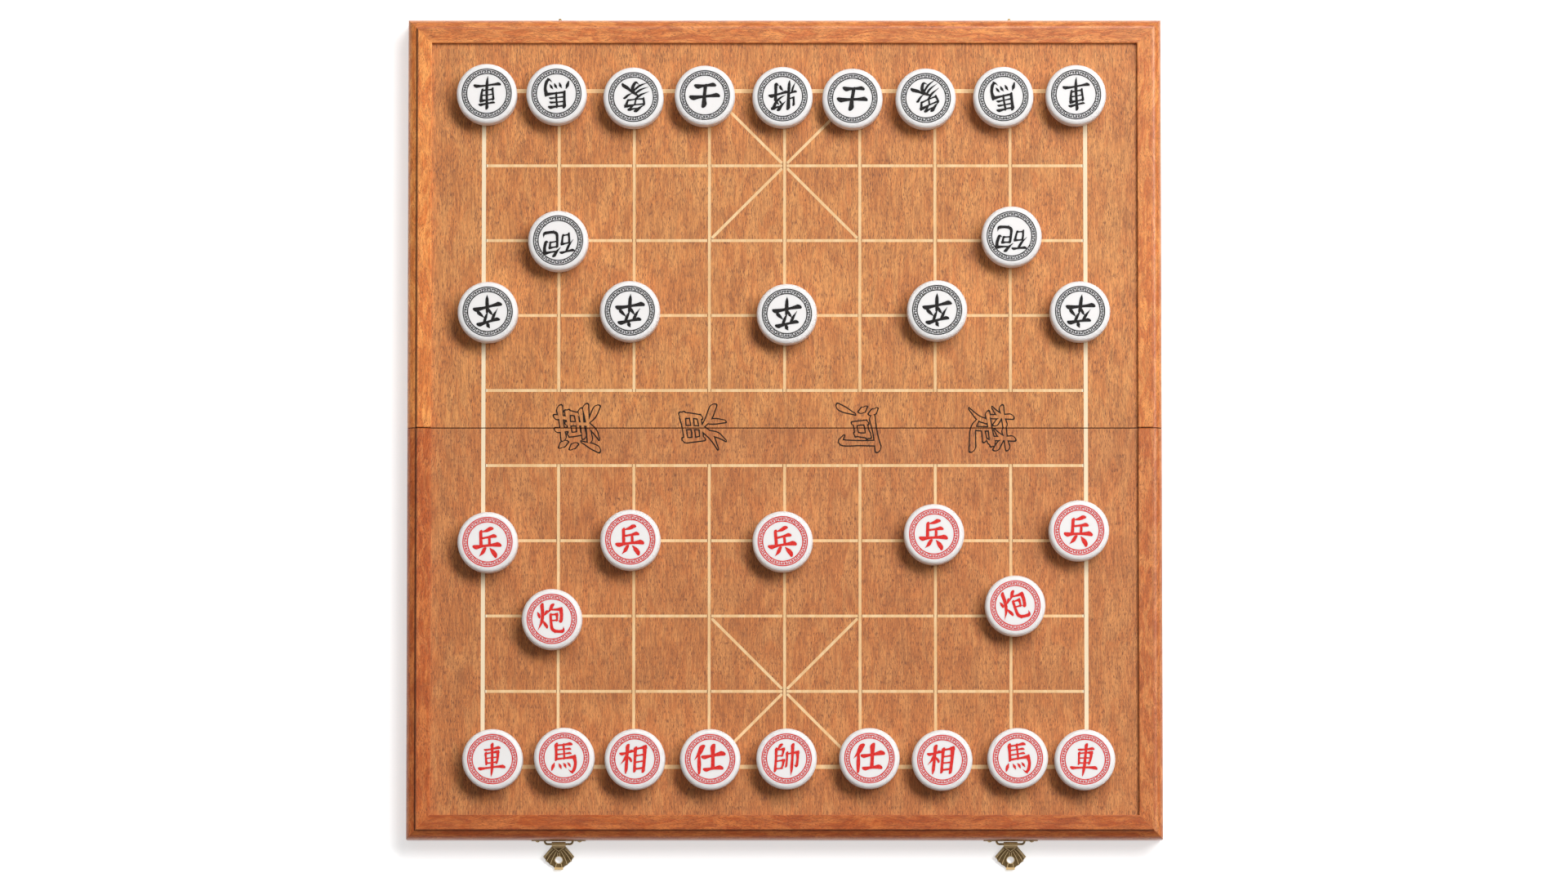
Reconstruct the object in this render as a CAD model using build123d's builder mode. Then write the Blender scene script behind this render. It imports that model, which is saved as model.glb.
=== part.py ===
from build123d import *
import os
from math import cos, radians, sin, sqrt

# A folding xiangqi box, opened flat with its playing surface up and its 32 pieces set out.
# Two shallow trays are hinged along the middle of the board: turned over and under, the far
# tray closes the near one, and two shell-shaped hasps on the near wall hold it shut.
# X runs along the fold, +Y points to the far (black) side and +Z up. The origin is the middle
# of the fold, in the plane of the rims on which the open box rests. Millimetres.

# --- playing grid -----------------------------------------------------------------------
cell_pitch = 37.5          # from one line to the next, both ways
files_each_side = 4        # lines either side of the middle one
ranks_each_side = 4        # cells between the river and the end line
border_line = 2.0          # width of the strip round the grid
inner_line = 1.4           # width of every other strip
inlay_depth = 0.8          # the strips are let in by this much
inlay_joint = 0.3          # slit where one strip butts against another

# --- case -------------------------------------------------------------------------------
side_margin = 26.0         # from the outer line of the grid to the side rail
end_margin = 23.9          # from the end line of the grid to the end rail
rail_width = 12.0
rail_height = 22.0
ovolo_radius = 4.6         # quarter round along the outer edge
ovolo_step = 1.2           # drop from the flat of the rail to the quarter round
arris_radius = 0.4         # softened long edges
rail_end_chamfer = 0.35    # softened ends at the fold
panel_recess = 2.5         # the playing panel lies this far under the rails
panel_thickness = 4.0
panel_tongue = 3.7         # part of the panel that is held in the groove of the rails
tongue_clearance = 0.3     # room at the bottom of that groove
fold_rail_thickness = 10.0
fold_gap = 0.5             # between the two trays when they lie flat
rim_gap = 0.3              # between the rims when the box is shut

# --- fold hinges ------------------------------------------------------------------------
hinge_spread = 220.0       # between the middles of the two hinges
hinge_length = 30.0
hinge_leaf_depth = 9.0     # from the fold to the inner edge of a leaf
hinge_leaf_thickness = 0.8
hinge_knuckles = 5
knuckle_radius = 1.3
knuckle_gap = 0.3          # between neighbouring knuckles
knuckle_relief = 0.35      # between a knuckle and the wood round it
hinge_pin_radius = 0.65
pin_clearance = 0.04
pin_head_radius = 1.0
pin_head_length = 0.5
hinge_screws_per_leaf = 3
hinge_screw_spacing = 10.0
hinge_screw_inset = 5.6    # from the fold to the row of screws
screw_radius = 0.8
screw_head_radius = 1.6
screw_head_depth = 0.7
screw_length = 8.0
screw_slot_width = 0.4
screw_slot_depth = 0.3

# --- hasps and catches ------------------------------------------------------------------
hasp_spread = 225.0        # between the two hasps
hasp_plate_width = 27.0
hasp_plate_height = 8.4
hasp_plate_lift = 1.0      # from the rim to the lower edge of the plate
hasp_plate_corner = 1.6
plate_thickness = 0.5      # sheet of both plates
nail_spread = 21.0
nail_radius = 0.5
nail_length = 7.0
nail_head_radius = 1.2
nail_head_height = 0.7
staple_height = 3.0        # wire axis over the rim
staple_standoff = 1.95     # wire axis out from the wall
staple_span = 15.0         # over the outsides of the bends
staple_wire_radius = 0.55
staple_depth = 5.0         # into the wood

flap_droop = 15.0          # degrees under the horizontal, with the lip just over the table
flap_sheet = 0.55
flap_crown_radius = 60.0   # the sheet is bent to this radius across its width
flap_roll_clearance = 0.05
flap_neck_width = 6.9
flap_half_width = 7.8
flap_widest_at = 6.5       # all these are distances from the wire's axis
flap_hole_at = 8.0
flap_hole_radius = 1.75
flap_lip_width = 4.4
flap_lip_at = 12.2
flap_lip_rise = 1.5
flap_lip_lean = 30.0       # degrees that the lip leans away from upright
scallop_points = ((6.4, 8.9), (4.4, 10.6))   # where the scallops of the edge meet
scallop_bulge = 0.35
rib_width = 0.32
rib_rise = 0.22
chevron_half_width = 2.8
chevron_top_at = 1.6
chevron_tip_at = 3.6
# each rib: its start, a point it bends through and its end, mirrored to the other side
rib_routes = (
    ((3.0, 2.4), (5.6, 5.0), (7.2, 7.4)),
    ((2.0, 2.9), (4.4, 5.8), (6.1, 8.8)),
    ((1.1, 3.6), (3.0, 7.0), (4.15, 10.3)),
    ((0.45, 4.1), (0.5, 5.0), (0.6, 6.1)),
    ((1.15, 9.8), (1.4, 10.8), (1.6, 11.9)),
)

catch_plate_height = 6.4
catch_stud_radius = 1.2
catch_stud_tip = 0.85      # radius of its rounded end
catch_stud_length = 2.5    # how far the stud stands out from the wall

# --- pieces -----------------------------------------------------------------------------
piece_diameter = 30.0
piece_thickness = 12.5
piece_edge_radius = 2.3    # both edges are well rounded
piece_seat_gap = 0.05      # between a piece and the panel

# Each piece: its name, file, rank and how far it stands off its point in X and Y, as a share
# of the room between neighbouring pieces. Ranks count from the river, outwards.
black_pieces = (
    ("left_chariot", -4, 4, 0.22, -0.35),
    ("left_horse", -3, 4, -0.15, -0.36),
    ("left_elephant", -2, 4, -0.04, -0.59),
    ("left_advisor", -1, 4, -0.30, -0.46),
    ("general", 0, 4, -0.14, -0.55),
    ("right_advisor", 1, 4, -0.49, -0.66),
    ("right_elephant", 2, 4, -0.63, -0.65),
    ("right_horse", 3, 4, -0.47, -0.54),
    ("right_chariot", 4, 4, -0.65, -0.42),
    ("left_cannon", -3, 2, -0.02, -0.15),
    ("right_cannon", 3, 2, 0.06, 0.14),
    ("soldier_1", -4, 1, 0.32, 0.11),
    ("soldier_2", -2, 1, -0.26, 0.17),
    ("soldier_3", 0, 1, 0.15, -0.03),
    ("soldier_4", 2, 1, 0.11, 0.22),
    ("soldier_5", 4, 1, -0.42, 0.15),
)
red_pieces = (
    ("left_chariot", -4, 4, 0.70, 0.44),
    ("left_horse", -3, 4, 0.44, 0.53),
    ("left_elephant", -2, 4, 0.11, 0.45),
    ("left_advisor", -1, 4, 0.08, 0.44),
    ("general", 0, 4, 0.13, 0.48),
    ("right_advisor", 1, 4, 0.60, 0.51),
    ("right_elephant", 2, 4, 0.41, 0.39),
    ("right_horse", 3, 4, 0.40, 0.51),
    ("right_chariot", 4, 4, -0.16, 0.42),
    ("left_cannon", -3, 2, -0.39, -0.29),
    ("right_cannon", 3, 2, 0.25, 0.60),
    ("soldier_1", -4, 1, 0.35, -0.19),
    ("soldier_2", -2, 1, -0.21, -0.03),
    ("soldier_3", 0, 1, -0.13, -0.14),
    ("soldier_4", 2, 1, -0.11, 0.34),
    ("soldier_5", 4, 1, -0.52, 0.59),
)

# --- places that follow from the sizes above ----------------------------------------------
grid_half_width = files_each_side * cell_pitch
grid_end = (ranks_each_side + 0.5) * cell_pitch
inner_x = grid_half_width + side_margin
outer_x = inner_x + rail_width
inner_y = grid_end + end_margin
outer_y = inner_y + rail_width
fold_y = fold_gap / 2
panel_top = rail_height - panel_recess
panel_bottom = panel_top - panel_thickness
hinge_axis_z = -rim_gap / 2
staple_y = outer_y + staple_standoff
flap_roll_radius = staple_wire_radius + flap_roll_clearance
catch_stud_z = flap_hole_at - staple_height - rim_gap
plate_middle_z = hasp_plate_lift + hasp_plate_height / 2
staple_leg = staple_span / 2 - staple_wire_radius
staple_bend = staple_standoff - plate_thickness
sides = {"left": -1, "right": 1}

os.makedirs("parts", exist_ok=True)


def finish(piece, name):
    """Labels a finished piece and writes it."""
    piece.part.label = name
    export_step(piece.part, f"parts/{name}.step")


# --- rails --------------------------------------------------------------------------------
def rail_section(plane, outer, inward):
    """The section of a rail from its outer face; inward is +1 or -1 along the plane's X."""
    lobe_foot = rail_height - ovolo_step - ovolo_radius
    on_lobe = ovolo_radius * sqrt(0.5)
    groove_depth = panel_tongue + tongue_clearance

    def at(depth, height):
        return (outer + inward * depth, height)

    with BuildSketch(plane) as section:
        with BuildLine():
            Polyline(
                at(ovolo_radius, lobe_foot + ovolo_radius),
                at(ovolo_radius, rail_height),
                at(rail_width, rail_height),
                at(rail_width, panel_top),
                at(rail_width - groove_depth, panel_top),
                at(rail_width - groove_depth, panel_bottom),
                at(rail_width, panel_bottom),
                at(rail_width, 0),
                at(0, 0),
                at(0, lobe_foot),
            )
            ThreePointArc(
                at(0, lobe_foot),
                at(ovolo_radius - on_lobe, lobe_foot + on_lobe),
                at(ovolo_radius, lobe_foot + ovolo_radius),
            )
        make_face()
        corners = section.vertices().group_by(Axis.Y)
        fillet(corners[0] + corners[-1], arris_radius)
    return section.sketch


def mitre_plane(x_sign):
    """The upright plane of a near corner's mitre, with its normal towards the end rail."""
    return Plane(origin=(x_sign * outer_x, -outer_y, 0), z_dir=(-x_sign, -1, 0))


with BuildPart() as end_rail:
    extrude(rail_section(Plane.YZ, -outer_y, 1), amount=outer_x, both=True)
    for x_sign in sides.values():
        split(bisect_by=mitre_plane(x_sign), keep=Keep.TOP)

with BuildPart() as near_front_rail:
    add(end_rail.part)
    # holes for the nails and the staples of the hasps
    with BuildSketch(Plane(origin=(0, -outer_y, 0), x_dir=(1, 0, 0), z_dir=(0, -1, 0))):
        for side in sides.values():
            with Locations((side * hasp_spread / 2, plate_middle_z)):
                with GridLocations(nail_spread, 0, 2, 1):
                    Circle(nail_radius)
    extrude(amount=-nail_length, mode=Mode.SUBTRACT)
    with BuildSketch(Plane(origin=(0, -outer_y, 0), x_dir=(1, 0, 0), z_dir=(0, -1, 0))):
        for side in sides.values():
            with Locations((side * hasp_spread / 2, staple_height)):
                with GridLocations(2 * staple_leg, 0, 2, 1):
                    Circle(staple_wire_radius)
    extrude(amount=-staple_depth, mode=Mode.SUBTRACT)
finish(near_front_rail, "near_front_rail")

with BuildPart() as far_back_rail:
    mirror(end_rail.part, about=Plane.XZ)
    # holes for the nails of the catches
    with BuildSketch(Plane(origin=(0, outer_y, 0), x_dir=(-1, 0, 0), z_dir=(0, 1, 0))):
        for side in sides.values():
            with Locations((side * hasp_spread / 2, catch_stud_z)):
                with GridLocations(nail_spread, 0, 2, 1):
                    Circle(nail_radius)
    extrude(amount=-nail_length, mode=Mode.SUBTRACT)
finish(far_back_rail, "far_back_rail")

for side_name, x_sign in sides.items():
    with BuildPart() as near_side_rail:
        extrude(rail_section(Plane.XZ.offset(fold_y), x_sign * outer_x, -x_sign), amount=outer_y - fold_y)
        split(bisect_by=mitre_plane(x_sign), keep=Keep.BOTTOM)
        fold_end = near_side_rail.faces().sort_by(Axis.Y)[-1]
        upper_edges = fold_end.edges().filter_by(lambda edge: edge.center().Z > panel_top)
        chamfer(upper_edges, rail_end_chamfer)
    finish(near_side_rail, f"near_{side_name}_rail")
    with BuildPart() as far_side_rail:
        mirror(near_side_rail.part, about=Plane.XZ)
    finish(far_side_rail, f"far_{side_name}_rail")


# --- playing panels and their inlaid grid ---------------------------------------------------
def strip_layout(joint):
    """The strips of the near half as (centre, length along X, length along Y).

    With a joint the strips stop short of the ones they butt against.
    """
    strips = []
    for file in range(-files_each_side, files_each_side + 1):
        border = abs(file) == files_each_side
        start = -fold_y if border else -cell_pitch / 2 + inner_line / 2
        end = -grid_end - border_line / 2 if border else -grid_end + border_line / 2 + joint
        width = border_line if border else inner_line
        strips.append(((file * cell_pitch, (start + end) / 2), width, start - end))
    for rank in range(ranks_each_side):
        for cell in range(-files_each_side, files_each_side):
            west = cell * cell_pitch + (border_line if cell == -files_each_side else inner_line) / 2
            east_line = border_line if cell == files_each_side - 1 else inner_line
            east = (cell + 1) * cell_pitch - east_line / 2
            strips.append(
                (((west + east) / 2, -(rank + 0.5) * cell_pitch), east - west - 2 * joint, inner_line)
            )
    end_strip = 2 * grid_half_width - border_line - 2 * joint
    strips.append(((0, -grid_end), end_strip, border_line))
    return strips


def palace_quarters(joint):
    """The four quarters of the palace's cross, each kept inside its own cell."""
    cell_clear = cell_pitch - inner_line - 2 * joint
    quarters = []
    for x_sign in (-1, 1):
        for y_sign in (-1, 1):
            with BuildSketch() as quarter:
                with Locations((x_sign * cell_pitch / 2, -grid_end + (1 + y_sign / 2) * cell_pitch)):
                    Rectangle(2 * cell_pitch, inner_line, rotation=45 * x_sign * y_sign)
                    Rectangle(cell_clear, cell_clear, mode=Mode.INTERSECT)
            quarters.append(quarter.sketch)
    return quarters


with BuildPart() as near_playing_panel:
    with BuildSketch(Plane.XY.offset(panel_bottom)):
        with BuildLine():
            held_x = inner_x + panel_tongue
            held_y = inner_y + panel_tongue
            Polyline(
                (-held_x, -fold_y), (-held_x, -held_y), (held_x, -held_y), (held_x, -fold_y), close=True
            )
        make_face()
    extrude(amount=panel_thickness)
    with BuildSketch(Plane.XY.offset(panel_top - inlay_depth)):
        for centre, across, along in strip_layout(0):
            with Locations(centre):
                Rectangle(across, along)
        add(palace_quarters(0))
    extrude(amount=inlay_depth, mode=Mode.SUBTRACT)
finish(near_playing_panel, "near_playing_panel")

with BuildPart() as near_grid_inlay:
    with BuildSketch(Plane.XY.offset(panel_top - inlay_depth)):
        for centre, across, along in strip_layout(inlay_joint):
            with Locations(centre):
                Rectangle(across, along)
        add(palace_quarters(inlay_joint))
    extrude(amount=inlay_depth)
finish(near_grid_inlay, "near_grid_inlay")

for near_piece, far_name in (
    (near_playing_panel, "far_playing_panel"),
    (near_grid_inlay, "far_grid_inlay"),
):
    with BuildPart() as far_piece:
        mirror(near_piece.part, about=Plane.XZ)
    finish(far_piece, far_name)

# --- fold rails, under the meeting edges of the panels ---------------------------------------
hinge_centres = [side * hinge_spread / 2 for side in sides.values()]
screw_row = [(n - (hinge_screws_per_leaf - 1) / 2) * hinge_screw_spacing for n in range(hinge_screws_per_leaf)]
relief_radius = knuckle_radius + knuckle_relief

with BuildPart() as near_fold_rail:
    with BuildSketch(Plane.XY):
        with BuildLine():
            Polyline(
                (-inner_x, -fold_y),
                (-inner_x, -fold_y - fold_rail_thickness),
                (inner_x, -fold_y - fold_rail_thickness),
                (inner_x, -fold_y),
                close=True,
            )
        make_face()
    extrude(amount=panel_bottom)
    rim_edges = near_fold_rail.edges().filter_by(Axis.X).group_by(Axis.Z)[0]
    fillet(rim_edges.sort_by(Axis.Y)[0], arris_radius)
    # pockets for the leaves, a round relief for the knuckles and pilot holes for the screws
    with BuildSketch(Plane.XY):
        for centre in hinge_centres:
            with Locations((centre, -hinge_leaf_depth / 2)):
                Rectangle(hinge_length, hinge_leaf_depth)
    extrude(amount=hinge_leaf_thickness, mode=Mode.SUBTRACT)
    for centre in hinge_centres:
        with BuildSketch(Plane.YZ.offset(centre)):
            with Locations((0, hinge_axis_z)):
                Circle(relief_radius)
        extrude(amount=hinge_length / 2 + pin_head_length + knuckle_gap, both=True, mode=Mode.SUBTRACT)
    with BuildSketch(Plane.XY):
        for centre in hinge_centres:
            for step in screw_row:
                with Locations((centre + step, -hinge_screw_inset)):
                    Circle(screw_radius)
    extrude(amount=screw_length, mode=Mode.SUBTRACT)
finish(near_fold_rail, "near_fold_rail")

with BuildPart() as far_fold_rail:
    mirror(near_fold_rail.part, about=Plane.XZ)
finish(far_fold_rail, "far_fold_rail")

# --- fold hinges -------------------------------------------------------------------------------
knuckle_length = (hinge_length - (hinge_knuckles - 1) * knuckle_gap) / hinge_knuckles
pin_bore_radius = hinge_pin_radius + pin_clearance


def knuckle_start(n):
    """Where knuckle n begins, from the middle of its hinge."""
    return -hinge_length / 2 + n * (knuckle_length + knuckle_gap)


def screw_section(x, y, length):
    """Half the section of a countersunk hole or screw, beside its axis at x, y."""
    with BuildSketch(Plane.XZ.offset(-y)) as section:
        with BuildLine():
            Polyline(
                (x, 0),
                (x + screw_head_radius, 0),
                (x + screw_radius, screw_head_depth),
                (x + screw_radius, length - screw_radius),
                (x, length),
                close=True,
            )
        make_face()
    return section.sketch


def make_hinge_leaf(centre, y_sign, own_knuckles):
    """A leaf that lies in its pocket with its screw holes, and its knuckles round the pin."""
    with BuildPart() as leaf:
        with BuildSketch(Plane.XY):
            with Locations((centre, y_sign * hinge_leaf_depth / 2)):
                Rectangle(hinge_length, hinge_leaf_depth)
            for n in range(hinge_knuckles):
                if n not in own_knuckles:
                    with Locations((centre + knuckle_start(n) + knuckle_length / 2, 0)):
                        Rectangle(knuckle_length + 2 * knuckle_gap, 2 * relief_radius, mode=Mode.SUBTRACT)
        extrude(amount=hinge_leaf_thickness)
        for n in own_knuckles:
            with BuildSketch(Plane.YZ.offset(centre + knuckle_start(n))):
                with Locations((0, hinge_axis_z)):
                    Circle(knuckle_radius)
            extrude(amount=knuckle_length)
        with BuildSketch(Plane.YZ.offset(centre)):
            with Locations((0, hinge_axis_z)):
                Circle(pin_bore_radius)
        extrude(amount=hinge_length, both=True, mode=Mode.SUBTRACT)
        for step in screw_row:
            x, y = centre + step, y_sign * hinge_screw_inset
            revolve(screw_section(x, y, screw_length), axis=Axis((x, y, 0), (0, 0, 1)), mode=Mode.SUBTRACT)
    return leaf


for side_name, x_sign in sides.items():
    centre = x_sign * hinge_spread / 2
    near_leaf = make_hinge_leaf(centre, -1, range(0, hinge_knuckles, 2))
    finish(near_leaf, f"{side_name}_hinge_near_leaf")
    far_leaf = make_hinge_leaf(centre, 1, range(1, hinge_knuckles, 2))
    finish(far_leaf, f"{side_name}_hinge_far_leaf")

with BuildPart() as hinge_pins:
    for centre in hinge_centres:
        with BuildSketch(Plane.YZ.offset(centre)):
            with Locations((0, hinge_axis_z)):
                Circle(hinge_pin_radius)
        extrude(amount=hinge_length / 2, both=True)
        for end in (-1, 1):
            with BuildSketch(Plane.YZ.offset(centre + end * hinge_length / 2)):
                with Locations((0, hinge_axis_z)):
                    Circle(pin_head_radius)
            extrude(amount=end * pin_head_length, taper=20)
finish(hinge_pins, "hinge_pins")

for half_name, y_sign in (("near", -1), ("far", 1)):
    with BuildPart() as hinge_screws:
        for centre in hinge_centres:
            for step in screw_row:
                x, y = centre + step, y_sign * hinge_screw_inset
                revolve(screw_section(x, y, screw_length), axis=Axis((x, y, 0), (0, 0, 1)))
        with BuildSketch(Plane.XY):
            for centre in hinge_centres:
                for step in screw_row:
                    with Locations((centre + step, y_sign * hinge_screw_inset)):
                        Rectangle(2 * screw_head_radius, screw_slot_width)
        extrude(amount=screw_slot_depth, mode=Mode.SUBTRACT)
    finish(hinge_screws, f"{half_name}_hinge_screws")


# --- hasps and catches ---------------------------------------------------------------------------
def make_nails(y_sign, height):
    """The four nails of one wall, with domed heads on the plates."""
    section_plane = Plane(origin=(0, y_sign * outer_y, height), x_dir=(1, 0, 0), z_dir=(0, 0, y_sign))
    head_top = plate_thickness + nail_head_height
    dome_radius = (nail_head_radius**2 + nail_head_height**2) / (2 * nail_head_height)
    with BuildPart() as nails:
        for side in sides.values():
            for end in (-1, 1):
                x = side * hasp_spread / 2 + end * nail_spread / 2
                with BuildSketch(section_plane):
                    with BuildLine():
                        Polyline(
                            (x, head_top),
                            (x, -nail_length),
                            (x + nail_radius, -nail_length + nail_radius),
                            (x + nail_radius, plate_thickness),
                            (x + nail_head_radius, plate_thickness),
                        )
                        RadiusArc((x + nail_head_radius, plate_thickness), (x, head_top), -dome_radius)
                    make_face()
                revolve(axis=Axis((x, y_sign * outer_y, height), (0, 1, 0)))
    return nails


def make_wall_plate(centre, y_sign, middle, height):
    """A plate nailed flat on the outside of a wall."""
    plate_plane = Plane(origin=(centre, y_sign * outer_y, middle), x_dir=(1, 0, 0), z_dir=(0, y_sign, 0))
    with BuildPart() as plate:
        with BuildSketch(plate_plane):
            RectangleRounded(hasp_plate_width, height, hasp_plate_corner)
            with GridLocations(nail_spread, 0, 2, 1):
                Circle(nail_radius, mode=Mode.SUBTRACT)
        extrude(amount=plate_thickness)
    return plate


finish(make_nails(-1, plate_middle_z), "hasp_nails")
finish(make_nails(1, catch_stud_z), "catch_nails")

with BuildPart() as hasp_staples:
    for side in sides.values():
        centre = side * hasp_spread / 2
        leg_foot = (centre - staple_leg, -outer_y + staple_depth, staple_height)
        with BuildLine() as wire_path:
            FilletPolyline(
                leg_foot,
                (centre - staple_leg, -staple_y, staple_height),
                (centre + staple_leg, -staple_y, staple_height),
                (centre + staple_leg, -outer_y + staple_depth, staple_height),
                radius=staple_bend,
            )
        with BuildSketch(Plane(origin=leg_foot, z_dir=(0, -1, 0))):
            Circle(staple_wire_radius)
        sweep(path=wire_path.wire())
finish(hasp_staples, "hasp_staples")

for side_name, x_sign in sides.items():
    centre = x_sign * hasp_spread / 2
    with BuildPart() as hasp_plate:
        add(make_wall_plate(centre, -1, plate_middle_z, hasp_plate_height).part)
        with BuildSketch(Plane(origin=(centre, -outer_y, staple_height), x_dir=(1, 0, 0), z_dir=(0, -1, 0))):
            with GridLocations(2 * staple_leg, 0, 2, 1):
                Circle(staple_wire_radius)
        extrude(amount=plate_thickness, mode=Mode.SUBTRACT)
    finish(hasp_plate, f"{side_name}_hasp_plate")

    with BuildPart() as catch_plate:
        add(make_wall_plate(centre, 1, catch_stud_z, catch_plate_height).part)
        stud_plane = Plane(origin=(centre, outer_y, catch_stud_z), x_dir=(1, 0, 0), z_dir=(0, 0, 1))
        with BuildSketch(stud_plane):
            with BuildLine():
                shoulder = catch_stud_length - catch_stud_tip
                Polyline(
                    (0, catch_stud_length),
                    (0, plate_thickness),
                    (catch_stud_radius, plate_thickness),
                    (catch_stud_tip, shoulder),
                )
                ThreePointArc(
                    (catch_stud_tip, shoulder),
                    (catch_stud_tip * sqrt(0.5), shoulder + catch_stud_tip * sqrt(0.5)),
                    (0, catch_stud_length),
                )
            make_face()
        revolve(axis=Axis((centre, outer_y, catch_stud_z), (0, 1, 0)))
    finish(catch_plate, f"{side_name}_catch_plate")


# --- the flap of a hasp: a scallop shell of bent sheet, rolled round the staple ----------------------
droop_sin = sin(radians(flap_droop))
droop_cos = cos(radians(flap_droop))


def flap_planes(centre):
    """The flap's own planes at the wire: over its face, across its width and along its length."""
    wire = (centre, -staple_y, staple_height)
    face = Plane(origin=wire, x_dir=(1, 0, 0), z_dir=(0, -droop_sin, droop_cos))
    across = Plane(origin=wire, x_dir=(1, 0, 0), z_dir=(0, -droop_cos, -droop_sin))
    along = Plane(origin=wire, x_dir=(0, -droop_cos, -droop_sin), z_dir=(-1, 0, 0))
    return face, across, along


def shell_outline(plane):
    """The flap's outline: a neck, straight flares and a scalloped edge down to the lip."""
    corners = ((flap_half_width, flap_widest_at),) + scallop_points + ((flap_lip_width / 2, flap_lip_at),)
    with BuildSketch(plane) as outline:
        with BuildLine():
            for x_sign in (-1, 1):
                neck = x_sign * flap_neck_width / 2
                flare = (x_sign * flap_half_width, -flap_widest_at)
                Polyline((neck, 0), (neck, -flap_roll_radius - flap_sheet), flare)
                for (x_a, out_a), (x_b, out_b) in zip(corners, corners[1:]):
                    SagittaArc((x_sign * x_a, -out_a), (x_sign * x_b, -out_b), -x_sign * scallop_bulge)
            Line((-flap_neck_width / 2, 0), (flap_neck_width / 2, 0))
            Line((-flap_lip_width / 2, -flap_lip_at), (flap_lip_width / 2, -flap_lip_at))
        make_face()
    return outline.sketch


def shell_ribs(plane):
    """The raised lines on the flap: its flares, chevron and fan of ribs, and a collar round the hole."""
    inset = rib_width / 2
    with BuildSketch(plane) as ribs:
        with BuildLine() as chevron:
            Polyline(
                (-chevron_half_width, -chevron_top_at),
                (0, -chevron_tip_at),
                (chevron_half_width, -chevron_top_at),
                close=True,
            )
        trace(chevron.edges(), line_width=rib_width)
        for x_sign in (-1, 1):
            with BuildLine() as flare:
                Line(
                    (x_sign * (flap_neck_width / 2 - inset), -chevron_top_at),
                    (x_sign * (flap_half_width - inset), -flap_widest_at - inset),
                )
            trace(flare.edges(), line_width=rib_width)
            for start, middle, end in rib_routes:
                with BuildLine() as rib:
                    ThreePointArc(*((x_sign * x, -out) for x, out in (start, middle, end)))
                trace(rib.edges(), line_width=rib_width)
        with Locations((0, -flap_hole_at)):
            Circle(flap_hole_radius + rib_width)
    return ribs.sketch


def make_crowned_sheet(centre, drawing, bottom, top):
    """What drawing gives on the flap's face, cut from a sheet that is crowned across the flap."""
    face, across, _ = flap_planes(centre)
    with BuildPart() as sheet:
        with BuildSketch(across):
            with Locations((0, -flap_crown_radius)):
                Circle(flap_crown_radius + top)
                Circle(flap_crown_radius + bottom, mode=Mode.SUBTRACT)
            Rectangle(3 * flap_half_width, 3 * flap_half_width, mode=Mode.INTERSECT)
        extrude(amount=flap_lip_at)
        extrude(drawing(face.offset(-flap_half_width)), amount=2 * flap_half_width, mode=Mode.INTERSECT)
    return sheet


def make_flap(centre):
    """A shell-shaped flap that hangs on its staple, with a rolled neck and a lifted lip."""
    half_sheet = flap_sheet / 2
    face, _, along = flap_planes(centre)
    sheet = make_crowned_sheet(centre, shell_outline, -half_sheet, half_sheet)
    ribs = make_crowned_sheet(centre, shell_ribs, 0, half_sheet + rib_rise)
    lean = radians(flap_lip_lean)
    tip = (flap_lip_at + flap_lip_rise * sin(lean), -half_sheet + flap_lip_rise * cos(lean))
    with BuildPart() as flap:
        add(sheet.part)
        add(ribs.part)
        with BuildSketch(Plane.YZ.offset(centre)):
            with Locations((-staple_y, staple_height)):
                Circle(flap_roll_radius + flap_sheet)
        extrude(amount=flap_neck_width / 2, both=True)
        with BuildSketch(along):
            with BuildLine():
                Polyline(
                    (flap_lip_at - 1.6 * flap_sheet, half_sheet),
                    (flap_lip_at - 1.6 * flap_sheet, -half_sheet),
                    (flap_lip_at, -half_sheet),
                    tip,
                    (tip[0] - flap_sheet * cos(lean), tip[1] + flap_sheet * sin(lean)),
                    (flap_lip_at - flap_sheet, half_sheet),
                    close=True,
                )
            make_face()
        extrude(amount=flap_lip_width / 2, both=True)
        with BuildSketch(Plane.YZ.offset(centre)):
            with Locations((-staple_y, staple_height)):
                Circle(flap_roll_radius)
        extrude(amount=flap_neck_width, both=True, mode=Mode.SUBTRACT)
        with BuildSketch(face):
            with Locations((0, -flap_hole_at)):
                Circle(flap_hole_radius)
        extrude(amount=flap_half_width, both=True, mode=Mode.SUBTRACT)
    return flap


for side_name, x_sign in sides.items():
    finish(make_flap(x_sign * hasp_spread / 2), f"{side_name}_hasp_flap")


# --- pieces ------------------------------------------------------------------------------------------
def make_piece(x, y):
    """A flat drum with well-rounded edges, standing on the panel."""
    foot = panel_top + piece_seat_gap
    with BuildPart() as piece:
        with BuildSketch(Plane(origin=(x, y, foot), x_dir=(1, 0, 0), z_dir=(0, -1, 0))) as half_section:
            Rectangle(piece_diameter / 2, piece_thickness, align=(Align.MIN, Align.MIN))
            fillet(half_section.vertices().group_by(Axis.X)[-1], piece_edge_radius)
        revolve(axis=Axis((x, y, foot), (0, 0, 1)))
    return piece


piece_room = cell_pitch - piece_diameter
for colour, y_sign, pieces in (("black", 1, black_pieces), ("red", -1, red_pieces)):
    for name, file, rank, x_share, y_share in pieces:
        x = file * cell_pitch + x_share * piece_room
        y = y_sign * (rank + 0.5) * cell_pitch + y_share * piece_room
        finish(make_piece(x, y), f"{colour}_{name}")
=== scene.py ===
from math import cos, pi, radians, sin

import bmesh
import bpy
from mathutils import Matrix, Vector


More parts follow.
